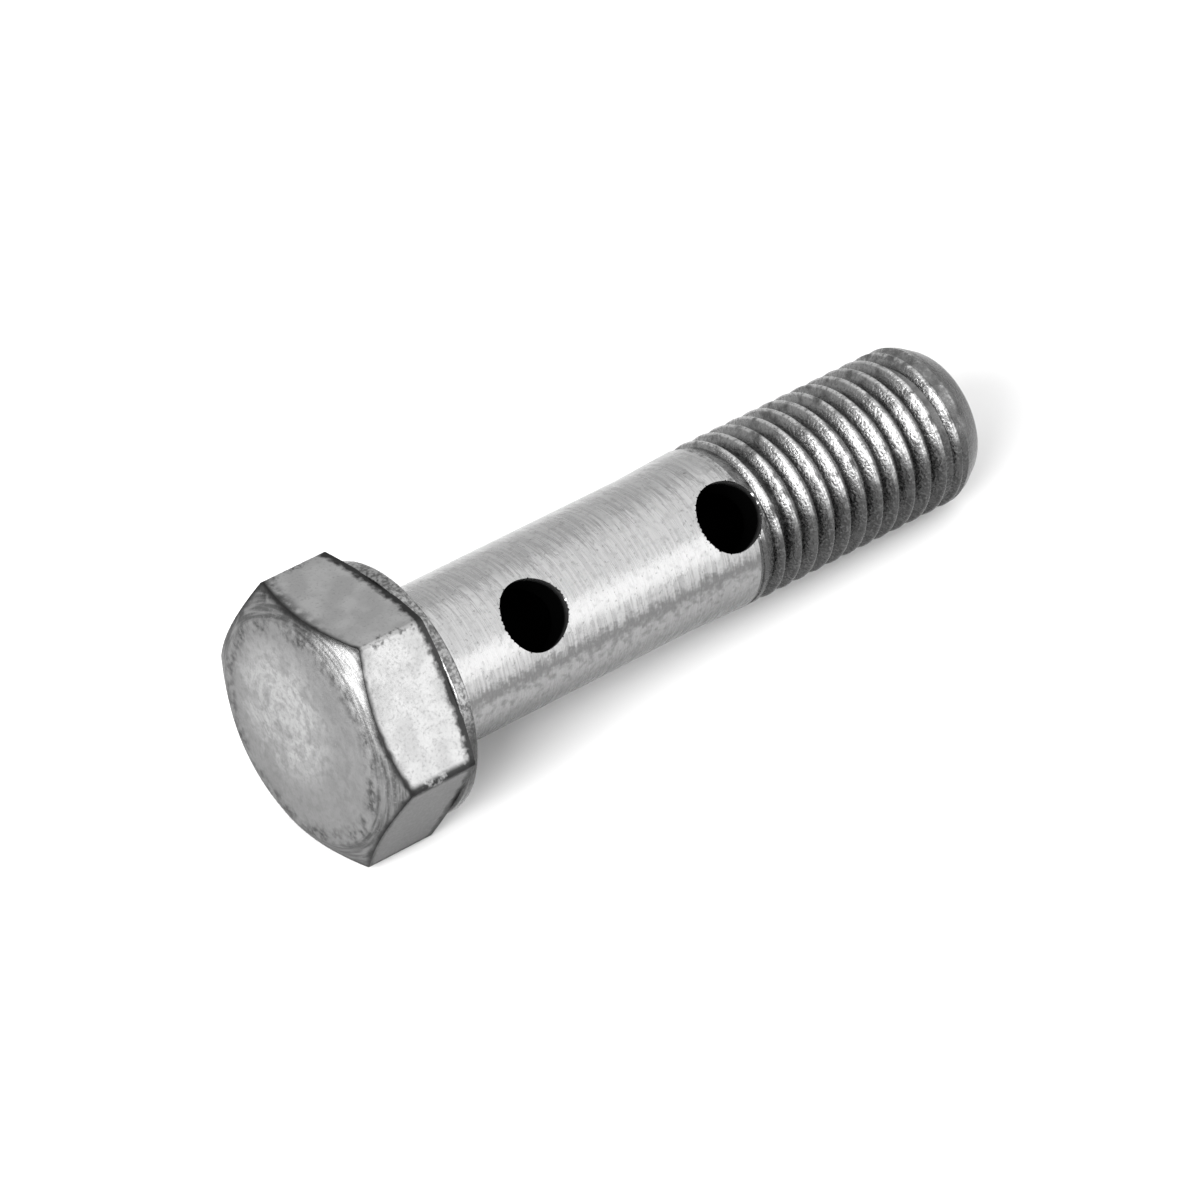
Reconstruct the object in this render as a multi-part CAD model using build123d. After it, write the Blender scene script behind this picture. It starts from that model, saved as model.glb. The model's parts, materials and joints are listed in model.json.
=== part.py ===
from build123d import *
import math
import os

# Banjo bolt, M12 x 1.5, drilled for two banjo fittings one behind the other.
# One forged and turned piece of steel, in millimetres.
#
# The bolt is drawn with its axis on X: the origin is the middle of the bearing face under the
# head, the head lies at negative X and the threaded tip at positive X. It is then laid down as
# it comes to rest: on the rim of its collar and on the thread at its tip, with a flat of the
# hexagon facing straight up. The origin stays in the middle of the bearing face.

# Hexagon head
across_flats = 17.7          # for an 18 mm spanner
head_height = 7.65           # bearing face to the edge of the crown
corner_round = 0.3           # radius along the six upright edges
crown_diameter = 16.0        # edge of the crown, where the chamfer begins
crown_dome_radius = 100.0    # the crown is a shallow dome, centred on the axis
crown_flat_diameter = 8.6    # disc faced flat in the middle of the dome
crown_chamfer_deg = 30.0     # measured from the plane of the crown
back_chamfer_deg = 15.0      # takes the hexagon's corners back above the collar

# Round collar that carries the bearing face
collar_diameter = 18.2
collar_thickness = 0.9
collar_chamfer = 0.2         # on the rim towards the hexagon
collar_round = 0.2           # radius on the rim of the bearing face
neck_round = 0.5             # radius between the bearing face and the shank

# Shank and threaded end
shank_diameter = 11.4
thread_diameter = 11.9       # over the crests, M12 made a little under
swell_start = 22.8           # the shank swells up to the rolled thread from here
swell_end = 29.0
length_under_head = 48.5
tip_diameter = 9.8           # flat end of the bolt
tip_chamfer_length = 1.9

# Passages for the fluid
bore_diameter = 6.5          # blind, drilled from the tip
bore_end = 5.2               # end of the full diameter, just past the inner port
drill_point_deg = 118.0
bore_mouth_chamfer = 0.5
port_diameter = 5.1          # cross holes, right through both walls
port_places = (9.0, 26.1)    # along the axis, one in each banjo fitting
port_turn_deg = 46.7         # from the upper flat, about the axis
port_edge_chamfer = 0.1      # broken edge of each mouth

head_radius = across_flats / 2
corner_radius = across_flats / math.sqrt(3)
crown_radius = crown_diameter / 2
collar_radius = collar_diameter / 2
shank_radius = shank_diameter / 2
thread_radius = thread_diameter / 2
tip_radius = tip_diameter / 2
bore_radius = bore_diameter / 2
port_radius = port_diameter / 2


def turned(outline):
    """Solid of revolution about the bolt's axis; the outline lies in the XY plane, Y as radius."""
    return revolve(make_face(outline), Axis.X)


def hexagon_head():
    """Hexagon prism with a low crown, chamfered at the crown and behind its corners."""
    crown_slope = math.tan(math.radians(crown_chamfer_deg))
    back_slope = math.tan(math.radians(back_chamfer_deg))
    front_corner_x = -head_height + (corner_radius - crown_radius) * crown_slope
    back_corner_x = -collar_thickness - (corner_radius - collar_radius) * back_slope
    edge_angle = math.degrees(math.asin(crown_radius / crown_dome_radius))
    flat_angle = math.degrees(math.asin(crown_flat_diameter / 2 / crown_dome_radius))
    dome_centre = crown_dome_radius * math.cos(math.radians(edge_angle)) - head_height
    dome = CenterArc((dome_centre, 0), crown_dome_radius, 180 - flat_angle, flat_angle - edge_angle)
    outline = dome + Polyline(
        dome @ 1,
        (front_corner_x, corner_radius),
        (back_corner_x, corner_radius),
        (-collar_thickness, collar_radius),
        (-collar_thickness, 0),
        ((dome @ 0).X, 0),
        dome @ 0,
    )
    hexagon = RegularPolygon(radius=head_radius, side_count=6, major_radius=False)
    hexagon = fillet(hexagon.vertices(), radius=corner_round)
    prism = extrude(Plane.YZ * hexagon, amount=-2 * head_height)
    return turned(outline) & prism


def rims_of(disc):
    """Round edges of the collar, from the hexagon's side to the bearing face."""
    return disc.edges().filter_by(GeomType.CIRCLE).sort_by(Axis.X)


def collar():
    """Round collar between the hexagon and the bearing face, with both rims broken."""
    disc = Pos(-collar_thickness / 2, 0, 0) * Rot(0, 90, 0) * Cylinder(collar_radius, collar_thickness)
    disc = chamfer(rims_of(disc)[0], length=collar_chamfer)
    return fillet(rims_of(disc)[-1], radius=collar_round)


def shank():
    """Plain shank that swells into the threaded length, with a chamfered tip."""
    neck = neck_round
    outline = Polyline(
        (-collar_thickness, 0),
        (-collar_thickness, shank_radius + neck),
        (0, shank_radius + neck),
    )
    outline += RadiusArc((0, shank_radius + neck), (neck, shank_radius), neck)
    outline += Polyline(
        (neck, shank_radius),
        (swell_start, shank_radius),
        (swell_end, thread_radius),
        (length_under_head - tip_chamfer_length, thread_radius),
        (length_under_head, tip_radius),
        (length_under_head, 0),
        (-collar_thickness, 0),
    )
    return turned(outline)


def axial_drilling():
    """Blind hole from the tip, with its drill point and the chamfer at its mouth."""
    point_length = bore_radius / math.tan(math.radians(drill_point_deg / 2))
    mouth_radius = bore_radius + bore_mouth_chamfer
    past_tip = length_under_head + 1
    outline = Polyline(
        (bore_end - point_length, 0),
        (bore_end, bore_radius),
        (length_under_head - bore_mouth_chamfer, bore_radius),
        (length_under_head, mouth_radius),
        (past_tip, mouth_radius),
        (past_tip, 0),
        (bore_end - point_length, 0),
    )
    return turned(outline)


def drillings():
    """All the holes, turned about the axis to where the ports point."""
    holes = axial_drilling()
    for place in port_places:
        holes += Pos(place, 0, 0) * Cylinder(port_radius, 3 * shank_radius)
    return Rot(port_turn_deg, 0, 0) * holes


def is_port_mouth(edge):
    """True for the closed, saddle-shaped edge where a cross hole leaves the outside of the shank."""
    middle = edge.center(CenterOf.BOUNDING_BOX)
    off_axis = math.hypot(middle.Y, middle.Z)
    at_port = any(abs(middle.X - place) < port_radius / 2 for place in port_places)
    return edge.is_closed and at_port and off_axis > (bore_radius + shank_radius) / 2


def resting_tilt_deg():
    """How far the tip dips when the collar's rim and the tip's thread both touch the table."""
    run = length_under_head - tip_chamfer_length + collar_round
    drop = collar_radius - collar_round - thread_radius
    return math.degrees(math.atan2(drop, run) + math.asin(collar_round / math.hypot(run, drop)))


def banjo_bolt():
    """The whole bolt on its own axis."""
    bolt = hexagon_head() + collar() + shank() - drillings()
    mouths = [edge for edge in bolt.edges() if is_port_mouth(edge)]
    return chamfer(mouths, length=port_edge_chamfer)


def main():
    os.makedirs("parts", exist_ok=True)
    lying = Rot(0, resting_tilt_deg(), 0) * banjo_bolt()
    export_step(lying.solid(), "parts/banjo_bolt.step")
    box = lying.bounding_box()
    print("solids", len(lying.solids()), "volume", round(lying.volume, 1), "faces", len(lying.faces()))
    print("tilt", round(resting_tilt_deg(), 3), "lowest point", round(box.min.Z, 3))


main()
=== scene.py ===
import json
import math

import bpy
from mathutils import Matrix, Vector


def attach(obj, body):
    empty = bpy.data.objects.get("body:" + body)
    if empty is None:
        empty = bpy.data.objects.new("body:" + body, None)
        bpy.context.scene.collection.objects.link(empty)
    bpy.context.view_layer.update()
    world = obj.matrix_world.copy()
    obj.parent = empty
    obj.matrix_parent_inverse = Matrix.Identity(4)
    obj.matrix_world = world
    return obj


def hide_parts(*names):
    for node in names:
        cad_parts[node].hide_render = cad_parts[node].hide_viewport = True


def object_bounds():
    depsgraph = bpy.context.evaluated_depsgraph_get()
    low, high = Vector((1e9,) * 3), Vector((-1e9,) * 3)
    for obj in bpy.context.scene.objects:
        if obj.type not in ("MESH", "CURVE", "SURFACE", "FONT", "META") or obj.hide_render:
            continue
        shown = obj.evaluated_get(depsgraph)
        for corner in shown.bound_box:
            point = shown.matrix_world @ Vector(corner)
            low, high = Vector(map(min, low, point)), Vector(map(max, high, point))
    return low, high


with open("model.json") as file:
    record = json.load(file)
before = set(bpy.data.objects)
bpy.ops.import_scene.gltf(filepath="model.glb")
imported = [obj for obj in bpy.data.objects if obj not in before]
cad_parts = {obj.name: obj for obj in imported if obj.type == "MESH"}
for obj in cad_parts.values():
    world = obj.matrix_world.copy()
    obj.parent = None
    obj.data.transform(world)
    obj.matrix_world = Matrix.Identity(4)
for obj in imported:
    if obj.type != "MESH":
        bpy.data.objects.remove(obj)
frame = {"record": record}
cad_lowest, cad_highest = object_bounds()

MM = 0.001
mounts = {mount["name"]: mount for mount in frame["record"]["mounts"]}


def radius_of(name):
    """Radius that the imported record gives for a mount."""
    return mounts[name]["dims"]["r_mm"]


def place_of(name):
    """How far along the bolt a mount lies from the bearing face."""
    return Vector(mounts[name]["pos_m"]).length / MM


def ends_of(name):
    """Where a mount's round wall starts and ends along the bolt."""
    half = mounts[name]["dims"]["length_mm"] / 2
    return place_of(name) - half, place_of(name) + half


# The bolt is modelled in millimetres on its own axis, X, from the middle of its bearing face,
# with its head at negative X, and is laid down in metres, as the frame has it, at the end.
bolt_axis = Vector(mounts["shank"]["axis"])
tilt = math.atan2(-bolt_axis.z, bolt_axis.x)
laid = Matrix.Rotation(tilt, 4, "Y") @ Matrix.Scale(MM, 4)
port_axis = Matrix.Rotation(-tilt, 3, "Y") @ Vector(mounts["port_by_head"]["axis"])
port_turn = math.atan2(-port_axis.y, port_axis.z)
port_places = [place_of(name) for name in ("port_by_head", "port_by_thread")]

shank_radius = radius_of("shank")
thread_radius = radius_of("thread")
bore_radius = radius_of("bore")
port_radius = radius_of("port_by_head")
neck_round, swell_start = ends_of("shank")
swell_end, chamfer_start = ends_of("thread")
bore_end = ends_of("bore")[0]

# Head
across_flats = 17.7
head_radius = across_flats / 2
head_height = 7.65
head_corner_round = 0.35  # radius on the upright edges
crown_radius = 8.0
crown_dome_radius = 100.0
crown_chamfer = math.radians(30)
back_chamfer = math.radians(15)
collar_radius = 9.1
collar_thickness = 0.9
collar_round = 0.2

# Thread, M12 x 1.5 with a right-hand helix
pitch = 1.5
crest_place = 37.7        # a crest passes the side of the bolt at +Y here
crest_round = 0.22
root_round = 0.16
thread_depth = 0.92
runout_start = 27.4       # the grooves start here, and are at full depth at runout_end
runout_end = 31.0
fade_start = 44.4         # the grooves get shallower from here to the tip's chamfer
tip_radius = 4.9
tip_end = 48.5

# Drillings
drill_point = math.radians(118)
bore_chamfer = 0.5
port_edge_break = 0.1

# Mesh
turning_steps = 240       # facets round a turned surface
thread_steps = 120        # facets round one turn of the thread
bore_steps = 96           # facets round the bore
port_steps = 128          # facets round a port
corner_steps = 5          # facets round an upright edge of the head
dome_steps = 12           # facets from the crown's middle to its edge
ring_count = 12           # rings that part the plain shank into shorter faces
ring_gap = 1.7
weld = 0.0005             # points closer than this are one
mouth_weld = 0.045        # the same, round the mouth of a port
mouth_near = 0.01         # points this close to a port's wall are on its mouth
ordered_from = (-31.7, 17.3, 23.9)  # points and faces are put in order by distance from here

# The boolean tool needs surfaces that overlap or lie apart, never ones that touch
lap = 0.05                # how far the turned blank reaches into the head
clear = 0.25              # how far the thread's trimming stays off its crests
thread_sink = 0.005       # the crests are this much under the full radius
core_sink = 0.02          # the blank's core is this much under the roots
thread_turn = math.radians(0.4)  # these two turns keep the facets from lining up
trim_turn = math.radians(0.7)


def pick(piece):
    """Leaves only this piece selected, and makes it active."""
    bpy.ops.object.select_all(action="DESELECT")
    piece.select_set(True)
    bpy.context.view_layer.objects.active = piece


def drawn(name, outline):
    """A line in the XY plane through the points of the outline."""
    bpy.ops.object.select_all(action="DESELECT")
    bpy.ops.mesh.primitive_plane_add()
    line = bpy.context.object
    line.name = name
    bpy.ops.object.mode_set(mode="EDIT")
    bpy.ops.mesh.merge(type="CENTER")
    bpy.ops.transform.translate(value=(*outline[0], 0))
    for here, there in zip(outline, outline[1:]):
        step = (there[0] - here[0], there[1] - here[1], 0)
        bpy.ops.mesh.extrude_vertices_move(TRANSFORM_OT_translate={"value": step})
    bpy.ops.object.mode_set(mode="OBJECT")
    return line


def close_up():
    """Merges doubled points and turns the faces outwards, in edit mode."""
    bpy.ops.mesh.select_all(action="SELECT")
    bpy.ops.mesh.remove_doubles(threshold=weld)
    bpy.ops.mesh.normals_make_consistent(inside=False)


def turned(name, outline, steps=turning_steps):
    """A solid of revolution about X; the outline gives (place on the axis, radius), from axis to axis."""
    solid = drawn(name, outline)
    bpy.ops.object.mode_set(mode="EDIT")
    bpy.ops.mesh.select_all(action="SELECT")
    bpy.ops.mesh.spin(steps=steps, angle=math.tau, center=(0, 0, 0), axis=(1, 0, 0))
    close_up()
    bpy.ops.object.mode_set(mode="OBJECT")
    return solid


def arc(centre, radius, start, end, steps):
    """Points on an arc, from one angle in degrees to the other."""
    angles = [math.radians(start + (end - start) * i / steps) for i in range(steps + 1)]
    return [(centre[0] + radius * math.cos(a), centre[1] + radius * math.sin(a)) for a in angles]


def combined(piece, tool, operation):
    """The piece united with the tool, cut by it or trimmed to it; the tool is used up."""
    pick(piece)
    bpy.ops.object.modifier_add(type="BOOLEAN")
    boolean = piece.modifiers[-1]
    boolean.operation = operation
    boolean.object = tool
    boolean.solver = "EXACT"
    bpy.ops.object.modifier_apply(modifier=boolean.name)
    bpy.data.objects.remove(tool)
    return piece


def bevel_edges(piece, chosen, offset, segments, kind="OFFSET"):
    """Bevels the edges whose two ends pass the test."""
    pick(piece)
    bpy.ops.object.mode_set(mode="EDIT")
    bpy.ops.mesh.select_mode(type="EDGE")
    bpy.ops.mesh.select_all(action="DESELECT")
    bpy.ops.object.mode_set(mode="OBJECT")
    points = piece.data.vertices
    for edge in piece.data.edges:
        first, second = edge.vertices
        edge.select = chosen(points[first].co, points[second].co)
    bpy.ops.object.mode_set(mode="EDIT")
    bpy.ops.mesh.bevel(
        offset_type=kind, offset=offset, segments=segments, affect="EDGES", loop_slide=False
    )
    bpy.ops.mesh.select_mode(type="VERT")
    bpy.ops.object.mode_set(mode="OBJECT")


def hexagon_head():
    """Hexagon with rounded upright edges, trimmed by its crown and by the chamfer behind its corners."""
    corner_radius = across_flats / math.sqrt(3)
    bpy.ops.object.select_all(action="DESELECT")
    bpy.ops.mesh.primitive_cylinder_add(
        vertices=6, radius=corner_radius, depth=4 * head_height, rotation=(0, math.pi / 2, 0)
    )
    hexagon = bpy.context.object
    hexagon.name = "hexagon"
    bpy.ops.object.transform_apply(location=True, rotation=True, scale=True)
    cut_back = head_corner_round * math.tan(math.radians(30))
    bevel_edges(hexagon, lambda a, b: abs(a.x - b.x) > head_height, cut_back, corner_steps)

    outside = corner_radius + 2
    dome_edge = math.degrees(math.asin(crown_radius / crown_dome_radius))
    dome_centre = crown_dome_radius * math.cos(math.radians(dome_edge)) - head_height
    outline = [
        *arc((dome_centre, 0), crown_dome_radius, 180, 180 - dome_edge, dome_steps),
        (-head_height + (outside - crown_radius) * math.tan(crown_chamfer), outside),
        (-collar_thickness - (outside - collar_radius) * math.tan(back_chamfer), outside),
        (-collar_thickness, collar_radius),
        (-collar_thickness, 0),
    ]
    return combined(hexagon, turned("head_turning", outline), "INTERSECT")


def blank():
    """Collar, neck, shank and thread core, turned in one, with a spigot that reaches into the head."""
    spigot_radius = collar_radius - 2
    rim = collar_radius - collar_round
    swell = (thread_radius - shank_radius) / (swell_end - swell_start)
    core_radius = thread_radius - thread_depth - core_sink
    outline = [
        (-head_height / 2, 0),
        (-head_height / 2, spigot_radius),
        (-collar_thickness - lap, spigot_radius),
        *arc((-collar_thickness - lap + collar_round, rim), collar_round, 180, 90, 4),
        *arc((-collar_round, rim), collar_round, 90, 0, 4),
        *arc((neck_round, shank_radius + neck_round), neck_round, 180, 270, 6),
        *[(neck_round + ring_gap * ring, shank_radius) for ring in range(1, ring_count + 1)],
        *[(swell_start + step, shank_radius + swell * step) for step in (0, 1.5, 3)],
        (runout_start, shank_radius + swell * (runout_start - swell_start)),
        (runout_end, core_radius),
        (fade_start, core_radius),
        # The tip's chamfer, eased at both ends
        (chamfer_start, thread_radius - 0.04),
        (chamfer_start + 0.5, thread_radius - 0.22),
        (tip_end - 0.35, tip_radius + 0.2),
        (tip_end - 0.1, tip_radius),
        (tip_end, tip_radius - 0.14),
        (tip_end, 0),
    ]
    return turned("blank", outline)


def thread():
    """The screwed end: an endless thread, trimmed to the swell, the full diameter and the tip's chamfer."""
    crest = thread_radius - thread_sink
    root = crest - thread_depth
    turns = 20
    start = crest_place - pitch / 2 - turns / 2 * pitch
    crest_arc = arc((start + pitch / 2, crest - crest_round), crest_round, 150, 30, 6)
    root_arc = arc((start + pitch, root + root_round), root_round, 210, 330, 6)
    profile = [(start, root), *[(x - pitch, r) for x, r in root_arc[4:]], *crest_arc, *root_arc[:4]]
    rod = drawn("thread", profile)
    pick(rod)
    bpy.ops.object.modifier_add(type="SCREW")
    helix = rod.modifiers[-1]
    helix.axis = "X"
    helix.angle = math.tau
    helix.screw_offset = pitch
    helix.iterations = turns
    helix.steps = thread_steps
    helix.render_steps = thread_steps
    bpy.ops.object.modifier_apply(modifier=helix.name)

    # Its uneven ends are cut off square and closed
    bpy.ops.object.mode_set(mode="EDIT")
    bpy.ops.mesh.select_all(action="SELECT")
    bpy.ops.mesh.remove_doubles(threshold=weld)
    for turn, outward in ((1.1037, -1), (turns - 0.0963, 1)):
        bpy.ops.mesh.select_all(action="SELECT")
        bpy.ops.mesh.bisect(
            plane_co=(start + turn * pitch, 0, 0), plane_no=(outward, 0, 0), use_fill=True, clear_outer=True
        )
    close_up()
    bpy.ops.object.mode_set(mode="OBJECT")
    rod.data.transform(Matrix.Rotation(thread_turn, 4, "X"))

    # The trimming keeps the crests inside the swell and the tip's chamfer
    envelope = [
        (runout_start - 2, 0),
        (runout_start - 2, shank_radius),
        (swell_end, thread_radius),
        (swell_end + clear, thread_radius + clear),
        (chamfer_start - 0.7, thread_radius + clear),
        (chamfer_start + 0.7, thread_radius - 0.55),
        (chamfer_start + 0.7, 0),
    ]
    trim = turned("envelope", envelope)
    trim.data.transform(Matrix.Rotation(trim_turn, 4, "X"))
    return combined(rod, trim, "INTERSECT")


def bore_drill():
    """What the axial drill and the countersink at its mouth take away."""
    point = bore_radius / math.tan(drill_point / 2)
    outline = [
        (bore_end - point, 0),
        (bore_end, bore_radius),
        (tip_end - bore_chamfer, bore_radius),
        (tip_end + 1, bore_radius + bore_chamfer + 1),
        (tip_end + 1, 0),
    ]
    return turned("bore_drill", outline, bore_steps)


def port_drill(place):
    """What one cross drill takes away, right through the shank."""
    bpy.ops.object.select_all(action="DESELECT")
    bpy.ops.mesh.primitive_cylinder_add(
        vertices=port_steps, radius=port_radius, depth=4 * shank_radius,
        location=(place, 0, 0), rotation=(port_turn, 0, 0)
    )
    drill = bpy.context.object
    bpy.ops.object.transform_apply(location=True, rotation=True, scale=True)
    return drill


def on_port_mouth(point):
    """True on the edge between a port and the outside of the shank."""
    for place in port_places:
        across = Vector((point.x - place, point.y, point.z))
        along = port_axis.dot(across)
        off = (across - along * port_axis).length
        if abs(off - port_radius) < mouth_near and abs(along) > shank_radius * 0.8:
            return True
    return False


def put_in_order(piece):
    """Orders points, edges and faces by place, since booleans leave them in another order each run."""
    pick(piece)
    bpy.context.scene.cursor.location = ordered_from
    bpy.ops.object.mode_set(mode="EDIT")
    bpy.ops.mesh.select_all(action="SELECT")
    bpy.ops.mesh.sort_elements(type="CURSOR_DISTANCE", elements={"VERT", "EDGE", "FACE"})
    bpy.ops.object.mode_set(mode="OBJECT")


def break_port_edges(piece):
    """Bevels the port mouths, once the points there that are too close together for it are merged."""
    pick(piece)
    bpy.ops.object.mode_set(mode="EDIT")
    bpy.ops.mesh.select_mode(type="VERT")
    bpy.ops.mesh.select_all(action="DESELECT")
    bpy.ops.object.mode_set(mode="OBJECT")
    for point in piece.data.vertices:
        point.select = on_port_mouth(point.co)
    bpy.ops.object.mode_set(mode="EDIT")
    bpy.ops.mesh.remove_doubles(threshold=mouth_weld)
    bpy.ops.object.mode_set(mode="OBJECT")
    bevel_edges(
        piece, lambda a, b: on_port_mouth(a) and on_port_mouth(b), port_edge_break, 1, "ABSOLUTE"
    )


def bolt():
    """The whole bolt in one closed mesh."""
    whole = hexagon_head()
    whole = combined(whole, blank(), "UNION")
    whole = combined(whole, thread(), "UNION")
    whole = combined(whole, bore_drill(), "DIFFERENCE")
    for place in port_places:
        whole = combined(whole, port_drill(place), "DIFFERENCE")
    put_in_order(whole)
    break_port_edges(whole)
    bpy.ops.object.mode_set(mode="EDIT")
    close_up()
    bpy.ops.object.mode_set(mode="OBJECT")
    whole.name = "bolt"
    whole.data.name = "bolt"
    return whole


piece = bolt()


# Materials. Places and sizes in the patterns are millimetres on the bolt.

def linear(hex_colour):
    """Linear colour of an sRGB hex value."""
    values = [int(hex_colour[i:i + 2], 16) / 255 for i in (1, 3, 5)]
    return [*(v / 12.92 if v <= 0.04045 else ((v + 0.055) / 1.055) ** 2.4 for v in values), 1]


def add(tree, kind, fills=(), **settings):
    """Adds a node with its settings and fills its inputs, in order or by name, with values or links."""
    node = tree.nodes.new("ShaderNode" + kind)
    for name, value in settings.items():
        setattr(node, name, value)
    for name, value in fills.items() if isinstance(fills, dict) else enumerate(fills):
        if isinstance(value, bpy.types.Node):
            value = value.outputs[0]
        if isinstance(value, bpy.types.NodeSocket):
            tree.links.new(value, node.inputs[name])
        else:
            node.inputs[name].default_value = value
    return node


def new_metal(name):
    """A new metal, its node tree and shader, and the place on the bolt, which lies along X."""
    material = bpy.data.materials.new(name)
    material.use_nodes = True
    tree = material.node_tree
    shader = tree.nodes["Principled BSDF"]
    shader.inputs["Metallic"].default_value = 1
    held = add(tree, "TexCoord").outputs["Object"]
    to_mm = (1 / MM, 1 / MM, 1 / MM)
    place = add(tree, "Mapping", {"Vector": held, "Rotation": (0, -tilt, 0), "Scale": to_mm})
    return material, tree, shader, place


def reach_from_axis(tree, place):
    """Distance from the bolt's axis."""
    across = add(tree, "VectorMath", (place, (0, 1, 1)), operation="MULTIPLY")
    return add(tree, "VectorMath", (across,), operation="LENGTH").outputs["Value"]


# The setting of every mask, whose edges fade smoothly
soft = {"interpolation_type": "SMOOTHSTEP"}


def turned_zinc():
    # Bright zinc plate over turned steel: a clear grey metal with fine lines round the shank, which fray
    # the edges of every reflection; painted shade on the underside, with a painted dark reflection band
    # along its upper edge and mottling below; and a darker ring in the neck by the collar. The coarser
    # lines, about 0.45 mm apart, are in relief; the fine ones, 0.2 mm apart, change the gloss and the tone.
    material, tree, shader, place = new_metal("zinc_plated_turned_steel")
    along, _, up = add(tree, "SeparateXYZ", (place,)).outputs
    stretched = add(tree, "Mapping", {"Vector": place, "Scale": (1 / 0.45, 1 / 2, 1 / 2)})
    lines = add(tree, "TexNoise", {"Vector": stretched, "Scale": 1, "Detail": 4})
    stretched = add(tree, "Mapping", {"Vector": place, "Scale": (1 / 0.2, 1 / 4, 1 / 4)})
    long_lines = add(tree, "TexNoise", {"Vector": stretched, "Scale": 1, "Detail": 3})
    mottle = add(tree, "TexNoise", {"Vector": place, "Scale": 1 / 0.5, "Detail": 5})
    specks = add(tree, "TexNoise", {"Vector": place, "Scale": 1 / 0.22, "Detail": 3})

    mask = add(tree, "MapRange", (long_lines, 0.3, 0.7), **soft)
    tone = add(tree, "MixRGB", (mask, linear("#9A9A9A"), linear("#AAAAAA")))
    mask = add(tree, "MapRange", (mottle, 0.5, 0.75), **soft)
    tone = add(tree, "MixRGB", (mask, tone, linear("#929292")))
    mask = add(tree, "MapRange", (specks, 0.6, 0.74, 0, 0.7), **soft)
    tone = add(tree, "MixRGB", (mask, tone, linear("#6E6E6E")))

    # Painted shade on the underside: a painted dark reflection band along its ragged upper edge, mottled
    # painted shade below it, darkest at the bottom
    height = add(tree, "Math", (mottle, 1.6, up), operation="MULTIPLY_ADD")
    height = add(tree, "Math", (long_lines, 0.9, height), operation="MULTIPLY_ADD")
    height = add(tree, "Math", (specks, 1.2, height), operation="MULTIPLY_ADD")
    mask = add(tree, "MapRange", (height, 3.35, 2.35, 0, 0.7), **soft)
    tone = add(tree, "MixRGB", (mask, tone, linear("#888888")))
    # The painted dark reflection band just under the highlight
    mask = add(tree, "Math", (height, 2.43), operation="SUBTRACT")
    mask = add(tree, "Math", (mask,), operation="ABSOLUTE")
    mask = add(tree, "MapRange", (mask, 0, 1.0, 0.9, 0), **soft)
    tone = add(tree, "MixRGB", (mask, tone, linear("#6A6A6A")))
    # Mottled painted shade below the band
    low = add(tree, "MapRange", (height, 2.55, 1.55), **soft)
    mask = add(tree, "MapRange", (mottle, 0.42, 0.72, 0, 0.75), **soft)
    mask = add(tree, "Math", (mask, low), operation="MULTIPLY")
    tone = add(tree, "MixRGB", (mask, tone, linear("#686868")))
    # Painted shade, darkest at the bottom
    mask = add(tree, "MapRange", (height, 1.25, -1.35, 0, 0.75), **soft)
    tone = add(tree, "MixRGB", (mask, tone, linear("#525252")))

    # A darker ring in the neck, and the dull collar, painted darker towards its underside as painted shade
    mask = add(tree, "Math", (along, 0.2), operation="SUBTRACT")
    mask = add(tree, "Math", (mask,), operation="ABSOLUTE")
    mask = add(tree, "MapRange", (mask, 0.1, 0.5, 1, 0), **soft)
    thin = add(tree, "MapRange", (mottle, 0.3, 0.55, 0.3, 1), **soft)
    mask = add(tree, "Math", (mask, thin), operation="MULTIPLY")
    tone = add(tree, "MixRGB", (mask, tone, linear("#3C3C3C")))
    mask = add(tree, "MapRange", (along, 0.05, -0.1), **soft)
    thin = add(tree, "Math", (specks, mottle), operation="MULTIPLY")
    thin = add(tree, "MapRange", (thin, 0.16, 0.34), **soft)
    collar = add(tree, "MixRGB", (thin, linear("#585858"), linear("#8E8E8E")))
    # Painted shade: the collar darker towards its underside
    low = add(tree, "MapRange", (up, 3.4, 0.6, 0, 0.85), **soft)
    collar = add(tree, "MixRGB", (low, collar, linear("#383838")))
    tone = add(tree, "MixRGB", (mask, tone, collar))
    tree.links.new(tone.outputs[0], shader.inputs["Base Color"])

    rough = add(tree, "MapRange", (long_lines, 0.3, 0.7, 0.18, 0.36), **soft)
    tree.links.new(rough.outputs[0], shader.inputs["Roughness"])
    bump = add(tree, "Bump", {"Height": lines, "Distance": 0.07 * MM, "Strength": 1})
    bump = add(tree, "Bump", {"Height": mottle, "Distance": 0.016 * MM, "Strength": 1, "Normal": bump})
    tree.links.new(bump.outputs[0], shader.inputs["Normal"])
    return material


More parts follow.
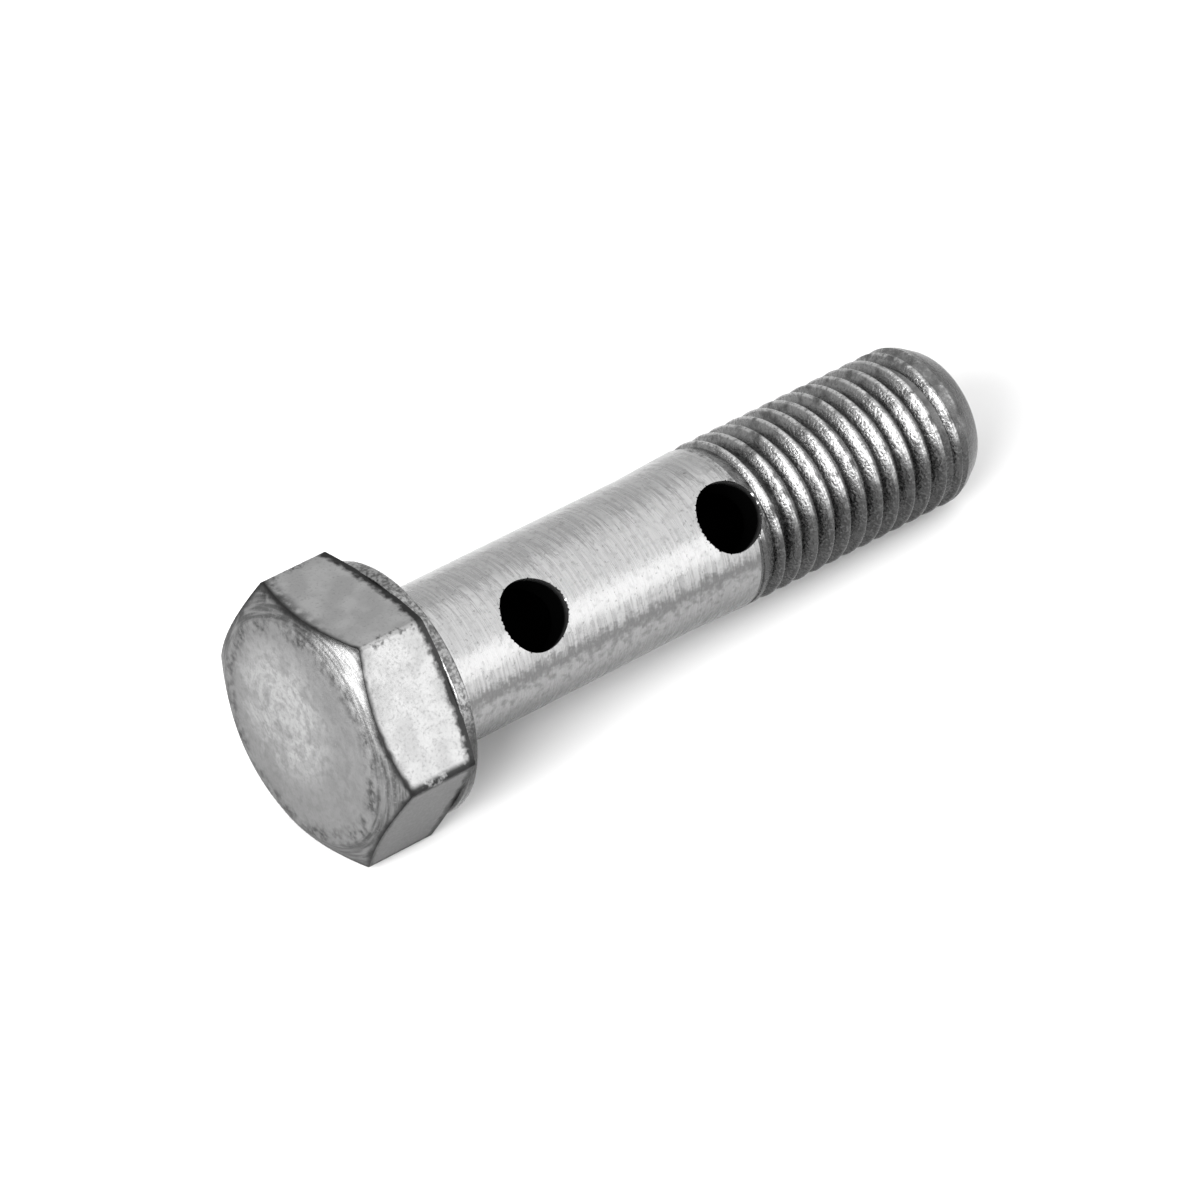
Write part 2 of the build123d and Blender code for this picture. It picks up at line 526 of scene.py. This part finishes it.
def forged_zinc():
    # Bright zinc plate over a forged head whose crown was faced and chamfered: a soft grey metal with fine
    # pits, a lighter patch on the crown that darkens towards its edge, a duller chamfer, painted shade on
    # the lower flats, and dirt along every edge.
    material, tree, shader, place = new_metal("zinc_plated_forged_steel")
    along, aside, up = add(tree, "SeparateXYZ", (place,)).outputs
    reach = reach_from_axis(tree, place)
    speckle = add(tree, "TexNoise", {"Vector": place, "Scale": 1 / 0.2, "Detail": 4})
    spots = add(tree, "TexNoise", {"Vector": place, "Scale": 1 / 0.45, "Detail": 4})
    patch = add(tree, "TexNoise", {"Vector": place, "Scale": 1 / 1.1, "Detail": 5})
    blotch = add(tree, "TexNoise", {"Vector": place, "Scale": 1 / 1.8, "Detail": 3})

    mask = add(tree, "MapRange", (blotch, 0.35, 0.65), **soft)
    tone = add(tree, "MixRGB", (mask, linear("#949494"), linear("#A2A2A2")))

    # Crown: a lighter patch a little off its middle that darkens towards the edge, with faint rings
    marked = add(tree, "VectorMath", (place, (0, 1.4, 0.8)), operation="SUBTRACT")
    ring_reach = reach_from_axis(tree, marked)
    ring_reach = add(tree, "Math", (patch, 0.9, ring_reach), operation="MULTIPLY_ADD")
    rings = add(tree, "CombineXYZ", (ring_reach, aside, up))
    rings = add(tree, "Mapping", {"Vector": rings, "Scale": (2.6, 0.35, 0.35)})
    rings = add(tree, "TexNoise", {"Vector": rings, "Scale": 1, "Detail": 3})
    streaks = add(tree, "CombineXYZ", (reach, aside, up))
    streaks = add(tree, "Mapping", {"Vector": streaks, "Scale": (5, 0.4, 0.4)})
    streaks = add(tree, "TexNoise", {"Vector": streaks, "Scale": 1, "Detail": 4})
    on_crown = add(tree, "MapRange", (along, 0.1 - head_height, -head_height), **soft)
    mask = add(tree, "MapRange", (ring_reach, 3.0, 6.8), **soft)
    crown_tone = add(tree, "MixRGB", (mask, linear("#A6A6A6"), linear("#7E7E7E")))
    mask = add(tree, "MapRange", (rings, 0.4, 0.64, 0, 0.5), **soft)
    crown_tone = add(tree, "MixRGB", (mask, crown_tone, linear("#868686")))
    tone = add(tree, "MixRGB", (on_crown, tone, crown_tone))

    # How far a point is inside the flats' planes and behind the chamfer's cone
    widest = 0
    for turn in (90, 150, 210):
        flat = math.radians(turn)
        outward = (0, math.cos(flat), math.sin(flat))
        off = add(tree, "VectorMath", (place, outward), operation="DOT_PRODUCT").outputs["Value"]
        off = add(tree, "Math", (off,), operation="ABSOLUTE")
        widest = add(tree, "Math", (off, widest), operation="MAXIMUM")
    inside_flats = add(tree, "Math", (head_radius, widest), operation="SUBTRACT")
    slope = math.tan(crown_chamfer)
    cone = add(tree, "Math", (reach, slope, -head_height - crown_radius * slope), operation="MULTIPLY_ADD")
    behind_cone = add(tree, "Math", (along, cone), operation="SUBTRACT")
    beyond_crown = add(tree, "MapRange", (reach, crown_radius - 0.1, crown_radius + 0.1), **soft)
    mask = add(tree, "MapRange", (behind_cone, 0.02, 0.1, 1, 0), **soft)
    mask = add(tree, "Math", (mask, beyond_crown), operation="MULTIPLY")
    thin = add(tree, "MapRange", (streaks, 0.35, 0.65), **soft)
    chamfer = add(tree, "MixRGB", (thin, linear("#525252"), linear("#787878")))
    tone = add(tree, "MixRGB", (mask, tone, chamfer))

    # Painted shade on the lower flats, then fine pits, and smears on the crown
    # Painted shade: the flats darker towards the underside
    mask = add(tree, "MapRange", (up, 0.6, -0.5, 0, 0.95), **soft)
    behind = add(tree, "MapRange", (inside_flats, 0.3, 0.1), **soft)
    mask = add(tree, "Math", (mask, behind), operation="MULTIPLY")
    tone = add(tree, "MixRGB", (mask, tone, linear("#6A6A6A")))
    mask = add(tree, "MapRange", (speckle, 0.5, 0.8, 0, 0.7), **soft)
    tone = add(tree, "MixRGB", (mask, tone, linear("#808080")))
    mask = add(tree, "MapRange", (blotch, 0.46, 0.64, 0, 0.5), **soft)
    mask = add(tree, "Math", (mask, on_crown), operation="MULTIPLY")
    tone = add(tree, "MixRGB", (mask, tone, linear("#767676")))
    pitted = add(tree, "MapRange", (spots, 0.46, 0.68, 0, 0.42), **soft)
    mask = add(tree, "Math", (pitted, on_crown), operation="MULTIPLY")
    tone = add(tree, "MixRGB", (mask, tone, linear("#6E6E6E")))

    # Dirt along the arcs of the chamfer
    from_arc = add(tree, "Math", (inside_flats, behind_cone), operation="ADD")
    frayed = add(tree, "Math", (patch, 0.6, from_arc), operation="MULTIPLY_ADD")
    arc_line = add(tree, "MapRange", (frayed, 0.3, 0.72, 0.95, 0), **soft)
    stain = add(tree, "MapRange", (from_arc, 0.2, 1.2, 0.85, 0), **soft)
    thin = add(tree, "MapRange", (patch, 0.4, 0.58), **soft)
    stain = add(tree, "Math", (stain, thin), operation="MULTIPLY")
    thin = add(tree, "MapRange", (aside, -5, 4, 0.25, 1), **soft)
    arc_stain = add(tree, "Math", (stain, thin), operation="MULTIPLY")

    # Along the upright edges, more of it low down
    corner_reach = head_radius / math.cos(math.radians(30))
    edge = add(tree, "MapRange", (reach, corner_reach - 0.34, corner_reach - 0.12, 0, 0.95), **soft)
    low = add(tree, "MapRange", (up, 6, 1, 0, 0.26), **soft)
    thin = add(tree, "Math", (spots, low), operation="ADD")
    thin = add(tree, "MapRange", (thin, 0.5, 0.76), **soft)
    edge_line = add(tree, "Math", (edge, thin), operation="MULTIPLY")

    # Round the crown's edge
    off_edge = add(tree, "Math", (reach, crown_radius - 0.4), operation="SUBTRACT")
    off_edge = add(tree, "Math", (off_edge,), operation="ABSOLUTE")
    stain = add(tree, "MapRange", (off_edge, 0.1, 1.0, 0.75, 0), **soft)
    thin = add(tree, "MapRange", (patch, 0.36, 0.62), **soft)
    stain = add(tree, "Math", (stain, thin), operation="MULTIPLY")
    thin = add(tree, "MapRange", (spots, 0.35, 0.6, 0.3, 1), **soft)
    crown_stain = add(tree, "Math", (stain, thin), operation="MULTIPLY")

    # Behind the flats
    back_slope = math.tan(back_chamfer)
    back = add(tree, "Math", (reach, collar_radius), operation="MAXIMUM")
    back_start = collar_radius * back_slope - collar_thickness
    back = add(tree, "Math", (back, -back_slope, back_start), operation="MULTIPLY_ADD")
    from_back = add(tree, "Math", (back, along), operation="SUBTRACT")
    frayed = add(tree, "Math", (spots, 0.9, from_back), operation="MULTIPLY_ADD")
    back_line = add(tree, "MapRange", (frayed, 0.75, 1.25, 0.96, 0), **soft)

    for dirt in (arc_line, arc_stain, edge_line, crown_stain, back_line):
        tone = add(tree, "MixRGB", (dirt, tone, linear("#262626")))
    tree.links.new(tone.outputs[0], shader.inputs["Base Color"])
    rough = add(tree, "MapRange", (speckle, 0.3, 0.7, 0.3, 0.42), **soft)
    tree.links.new(rough.outputs[0], shader.inputs["Roughness"])
    shader.inputs["Specular Tint"].default_value = linear("#DADADA")
    height = add(tree, "MixRGB", (on_crown, streaks, rings))
    bump = add(tree, "Bump", {"Height": height, "Distance": 0.012 * MM, "Strength": 1})
    bump = add(tree, "Bump", {"Height": speckle, "Distance": 0.012 * MM, "Strength": 1, "Normal": bump})
    tree.links.new(bump.outputs[0], shader.inputs["Normal"])
    return material


def rolled_zinc():
    # Bright zinc plate over a rolled thread: crests and flanks catch sparkling flecks of light. The grooves
    # and the tip are darker, the crests lighter, partly wear and partly painted highlight, and the
    # underside has painted shade.
    material, tree, shader, place = new_metal("zinc_plated_rolled_steel")
    along, _, up = add(tree, "SeparateXYZ", (place,)).outputs
    reach = reach_from_axis(tree, place)
    speckle = add(tree, "TexNoise", {"Vector": place, "Scale": 1 / 0.2, "Detail": 5})
    blotch = add(tree, "TexNoise", {"Vector": place, "Scale": 1 / 1.1, "Detail": 5})

    # Darker towards the roots of the grooves
    mask = add(tree, "MapRange", (reach, thread_radius - thread_depth + 0.15, thread_radius - 0.3), **soft)
    tone = add(tree, "MixRGB", (mask, linear("#606060"), linear("#7E7E7E")))
    # The crests lighter: partly wear, partly painted highlight
    mask = add(tree, "MapRange", (reach, thread_radius - 0.16, thread_radius - 0.04), **soft)
    tone = add(tree, "MixRGB", (mask, tone, linear("#B2B2B2")))
    # Painted shade: darker towards the underside
    height = add(tree, "Math", (blotch, -3, up), operation="MULTIPLY_ADD")
    height = add(tree, "Math", (speckle, -1.5, height), operation="MULTIPLY_ADD")
    mask = add(tree, "MapRange", (height, 0.9, -1.2, 0, 0.95), **soft)
    tone = add(tree, "MixRGB", (mask, tone, linear("#3A3A3A")))
    # Darker towards the tip
    height = add(tree, "Math", (blotch, 3, along), operation="MULTIPLY_ADD")
    height = add(tree, "Math", (speckle, 4, height), operation="MULTIPLY_ADD")
    mask = add(tree, "MapRange", (height, 48, 50.5, 0, 0.8), **soft)
    tone = add(tree, "MixRGB", (mask, tone, linear("#4A4A4A")))
    mask = add(tree, "MapRange", (speckle, 0.45, 0.7, 0, 0.9), **soft)
    tone = add(tree, "MixRGB", (mask, tone, linear("#646464")))
    mask = add(tree, "MapRange", (blotch, 0.48, 0.7), **soft)
    tone = add(tree, "MixRGB", (mask, tone, linear("#505050")))
    tree.links.new(tone.outputs[0], shader.inputs["Base Color"])
    rough = add(tree, "MapRange", (speckle, 0.3, 0.7, 0.18, 0.38), **soft)
    tree.links.new(rough.outputs[0], shader.inputs["Roughness"])
    bump = add(tree, "Bump", {"Height": speckle, "Distance": 0.045 * MM, "Strength": 1})
    tree.links.new(bump.outputs[0], shader.inputs["Normal"])
    return material


def drilled():
    # Bare drilled steel, partly blackened by oil and partly painted shade: near black deep in the bores,
    # lighter towards their mouths.
    material, tree, shader, place = new_metal("oily_drilled_steel")
    reach = reach_from_axis(tree, place)
    # Painted shade: near black deep in, lighter towards the mouth
    mask = add(tree, "MapRange", (reach, shank_radius - 0.75, shank_radius - 0.1), **soft)
    tone = add(tree, "MixRGB", (mask, linear("#121212"), linear("#6C6C6C")))
    tree.links.new(tone.outputs[0], shader.inputs["Base Color"])
    shader.inputs["Roughness"].default_value = 0.5
    shader.inputs["Specular Tint"].default_value = linear("#606060")
    return material


for finish in (forged_zinc(), turned_zinc(), rolled_zinc(), drilled()):
    piece.data.materials.append(finish)
head_finish, shank_finish, thread_finish, bore_finish = range(4)
bore_wall = bore_radius + 0.6     # faces whose middle is nearer the axis than this belong to the bore
port_wall = port_radius + 0.02
port_depth = shank_radius - 0.3   # the broken edges of the ports, further out, are plated
collar_back = -collar_thickness - lap - 0.01
for face in piece.data.polygons:
    centre = face.center
    reach = math.hypot(centre.y, centre.z)
    in_port = any(
        (centre - Vector((place, 0, 0))).cross(port_axis).length < port_wall for place in port_places
    )
    if reach < bore_wall and centre.x > 0 or in_port and reach < port_depth:
        face.material_index = bore_finish
    elif centre.x > runout_start:
        face.material_index = thread_finish
    elif centre.x > collar_back:
        face.material_index = shank_finish
    else:
        face.material_index = head_finish

piece.data.transform(laid)
pick(piece)
bpy.ops.object.shade_smooth_by_angle(angle=math.radians(30))
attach(piece, "root")
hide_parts("banjo_bolt")

# Floor
floor_place = (0, 0, cad_lowest[2])
bpy.ops.mesh.primitive_circle_add(vertices=64, radius=0.45, fill_type="NGON", location=floor_place)
floor = bpy.context.object
floor.name = "floor"
# Matt white card
card = bpy.data.materials.new("floor")
card.use_nodes = True
card_shader = card.node_tree.nodes["Principled BSDF"]
card_shader.inputs["Base Color"].default_value = linear("#EAEAEA")
card_shader.inputs["Roughness"].default_value = 1
card_shader.inputs["Specular IOR Level"].default_value = 0
floor.data.materials.append(card)

# Camera
camera_data = bpy.data.cameras.new("camera")
camera = bpy.data.objects.new("camera", camera_data)
bpy.context.collection.objects.link(camera)
bpy.context.scene.camera = camera
camera_place = Vector((-179.43474517, -257.88593883, 249.05354255)) * MM
aim = Vector((17.76125988, 0.82271196, -2.21774827)) * MM
roll = math.radians(-4.932)
look = (aim - camera_place).to_track_quat("-Z", "Y").to_matrix().to_4x4()
camera.matrix_world = Matrix.Translation(camera_place) @ look @ Matrix.Rotation(roll, 4, "Z")
camera_data.sensor_width = 36
camera_data.lens = 184.93
camera_data.clip_start = 0.01

bpy.context.scene.view_settings.view_transform = "Standard"

# Light: a room that is full white to the camera and in reflections, and dimmer to dull surfaces
world = bpy.data.worlds.new("room")
bpy.context.scene.world = world
world.use_nodes = True
room = world.node_tree
path = add(room, "LightPath").outputs
seen = add(room, "Math", (path["Is Camera Ray"], path["Is Glossy Ray"]), operation="MAXIMUM")
level = add(room, "MapRange", (seen, 0, 1, 0.62, 1.0))
room.links.new(level.outputs[0], room.nodes["Background"].inputs["Strength"])
room.nodes["Background"].inputs["Color"].default_value = (1, 1, 1, 1)


def softbox(name, place, width, height, power):
    """Area lamp that faces the bolt."""
    lamp_data = bpy.data.lights.new(name, "AREA")
    lamp_data.shape = "RECTANGLE"
    lamp_data.size = width
    lamp_data.size_y = height
    lamp_data.energy = power
    lamp = bpy.data.objects.new(name, lamp_data)
    bpy.context.collection.objects.link(lamp)
    lamp.location = place
    lamp.rotation_euler = (-Vector(place)).to_track_quat("-Z", "Y").to_euler()


softbox("side_softbox", (0.26, -0.46, 0.13), 0.5, 0.26, 0.72)
softbox("end_softbox", (-0.48, 0.07, 0.05), 0.18, 0.14, 1.6)
softbox("flank_softbox", (-0.41, -0.19, 0.23), 0.32, 0.34, 5.4)
softbox("top_softbox", (0.1, -0.25, 0.7), 1.4, 1.4, 4.6)
